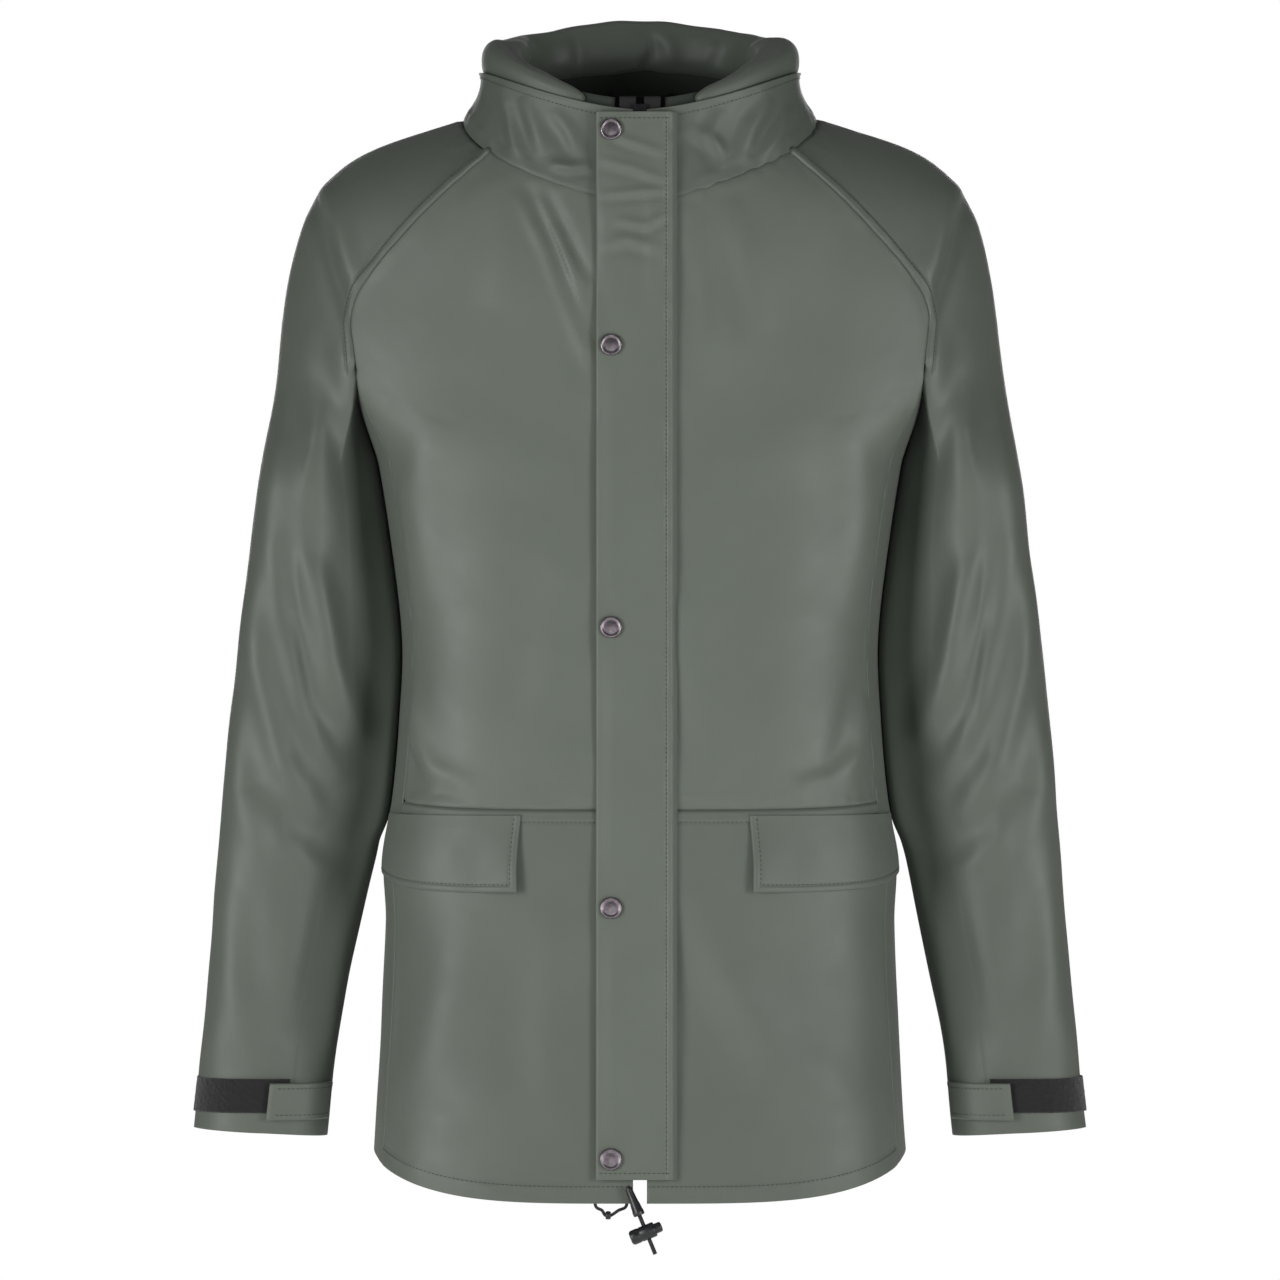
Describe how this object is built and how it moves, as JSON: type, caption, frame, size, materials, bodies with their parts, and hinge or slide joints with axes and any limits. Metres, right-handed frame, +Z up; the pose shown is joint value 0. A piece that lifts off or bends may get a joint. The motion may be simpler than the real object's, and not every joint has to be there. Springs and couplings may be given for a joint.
{
  "type": "waterproof jacket",
  "caption": "Waterproof raglan jacket with a storm flap over a long zip, stand collar with rolled hood, flap pockets, hook-and-loop cuffs and a hem drawcord.",
  "frame": {"origin": "middle of the neck opening, level with the top of the seam where the collar meets the front", "axes": "+Z up, -Y out of the jacket's front, +X towards the wearer's left arm"},
  "size_m": [0.6574, 0.2916, 0.9006],
  "materials": {
    "shell": "satin, smooth coated",
    "lower_shell": "satin, smooth coated",
    "sleeve_shell": "satin, smooth coated",
    "dark_lining": "matt",
    "black_tape": "matt woven",
    "black_plastic": "satin",
    "pewter_metal": "dark pewter, satin"
  },
  "bodies": {
    "torso": {"back_lower": "lower_shell", "back_upper": "shell", "collar_lining": "dark_lining", "collar_stand": "shell", "cord_bead": "black_plastic", "cord_loop": "black_plastic", "flap_seam_strip": "shell", "front_lower_left": "lower_shell", "front_lower_right": "lower_shell", "front_upper_left": "shell", "front_upper_right": "shell", "hanging_loop": "black_tape", "hood_roll": "shell", "inner_storm_flap": "dark_lining", "pocket_bag_left": "dark_lining", "pocket_bag_right": "dark_lining", "side_panel_left": "lower_shell", "side_panel_right": "lower_shell", "sleeve_cap_left": "sleeve_shell", "sleeve_cap_right": "sleeve_shell", "snap_stud_1": "pewter_metal", "snap_stud_2": "pewter_metal", "snap_stud_3": "pewter_metal", "snap_stud_4": "pewter_metal", "snap_stud_5": "pewter_metal", "zip_retaining_box": "pewter_metal", "zip_tape_left": "black_tape", "zip_tape_right": "black_tape", "zip_teeth_left": "black_plastic", "zip_teeth_right": "black_plastic"},
    "storm_flap": {"storm_flap": "shell", "snap_cap_1": "pewter_metal", "snap_cap_2": "pewter_metal", "snap_cap_3": "pewter_metal", "snap_cap_4": "pewter_metal", "snap_cap_5": "pewter_metal", "snap_socket_1": "pewter_metal", "snap_socket_2": "pewter_metal", "snap_socket_3": "pewter_metal", "snap_socket_4": "pewter_metal", "snap_socket_5": "pewter_metal"},
    "zip_slider": {"zip_slider": "pewter_metal"},
    "zip_pull": {"zip_pull": "pewter_metal"},
    "pocket_flap_left": {"pocket_flap_left": "lower_shell"},
    "pocket_flap_right": {"pocket_flap_right": "lower_shell"},
    "drawcord": {"drawcord_tail": "black_plastic", "cord_guard": "black_plastic"},
    "cord_lock": {"cord_lock_body": "black_plastic"},
    "cord_button": {"cord_lock_button": "black_plastic"},
    "sleeve_left": {"sleeve_front_left": "sleeve_shell", "sleeve_back_left": "sleeve_shell", "cuff_loop_tape_left": "black_tape"},
    "cuff_tab_left": {"cuff_tab_left": "lower_shell", "cuff_hook_patch_left": "black_tape"},
    "sleeve_right": {"sleeve_front_right": "sleeve_shell", "sleeve_back_right": "sleeve_shell", "cuff_loop_tape_right": "black_tape"},
    "cuff_tab_right": {"cuff_tab_right": "lower_shell", "cuff_hook_patch_right": "black_tape"}
  },
  "joints": [
    {"name": "storm_flap_hinge", "type": "hinge", "parent": "torso", "child": "storm_flap", "pos_m": [0.024, -0.12874, -0.36507], "axis": [0, 0.058, 0.9983], "range_deg": [0, 135]},
    {"name": "zip_slide", "type": "slide", "parent": "torso", "child": "zip_slider", "axis": [0, -0.058, -0.9983], "range_m": [0, 0.745]},
    {"name": "zip_pull_swing", "type": "hinge", "parent": "zip_slider", "child": "zip_pull", "pos_m": [0, -0.10156, 0.02], "axis": [0, -0.9983, 0.058], "range_deg": [-15, 15]},
    {"name": "pocket_flap_left_hinge", "type": "hinge", "parent": "torso", "child": "pocket_flap_left", "pos_m": [0.1254, -0.1265, -0.489], "axis": [-0.9205, -0.3907, 0], "range_deg": [0, 110]},
    {"name": "pocket_flap_right_hinge", "type": "hinge", "parent": "torso", "child": "pocket_flap_right", "pos_m": [-0.1254, -0.1265, -0.489], "axis": [-0.9205, 0.3907, 0], "range_deg": [0, 110]},
    {"name": "sleeve_left_raise", "type": "hinge", "parent": "torso", "child": "sleeve_left", "pos_m": [0.205, 0, -0.1], "axis": [0, -1, 0], "range_deg": [0, 70]},
    {"name": "sleeve_right_raise", "type": "hinge", "parent": "torso", "child": "sleeve_right", "pos_m": [-0.205, 0, -0.1], "axis": [0, 1, 0], "range_deg": [0, 70]},
    {"name": "cuff_tab_left_hinge", "type": "hinge", "parent": "sleeve_left", "child": "cuff_tab_left", "pos_m": [0.22785, -0.0456, -0.7005], "axis": [0.1104, -0.011, -0.9938], "range_deg": [0, 85]},
    {"name": "cuff_tab_right_hinge", "type": "hinge", "parent": "sleeve_right", "child": "cuff_tab_right", "pos_m": [-0.22785, -0.0456, -0.7005], "axis": [0.1104, 0.011, 0.9938], "range_deg": [0, 85]},
    {"name": "drawcord_swing", "type": "hinge", "parent": "torso", "child": "drawcord", "pos_m": [-0.009, -0.1514, -0.757], "axis": [0, -1, 0], "range_deg": [-40, 10]},
    {"name": "cord_lock_slide", "type": "slide", "parent": "drawcord", "child": "cord_lock", "axis": [0.3778, 0, -0.9259], "range_m": [-0.004, 0.01]},
    {"name": "cord_lock_button", "type": "slide", "parent": "cord_lock", "child": "cord_button", "axis": [-0.9259, 0, -0.3778], "range_m": [0, 0.004], "stiffness_N_per_m": 400, "springref_m": -0.001}
  ]
}
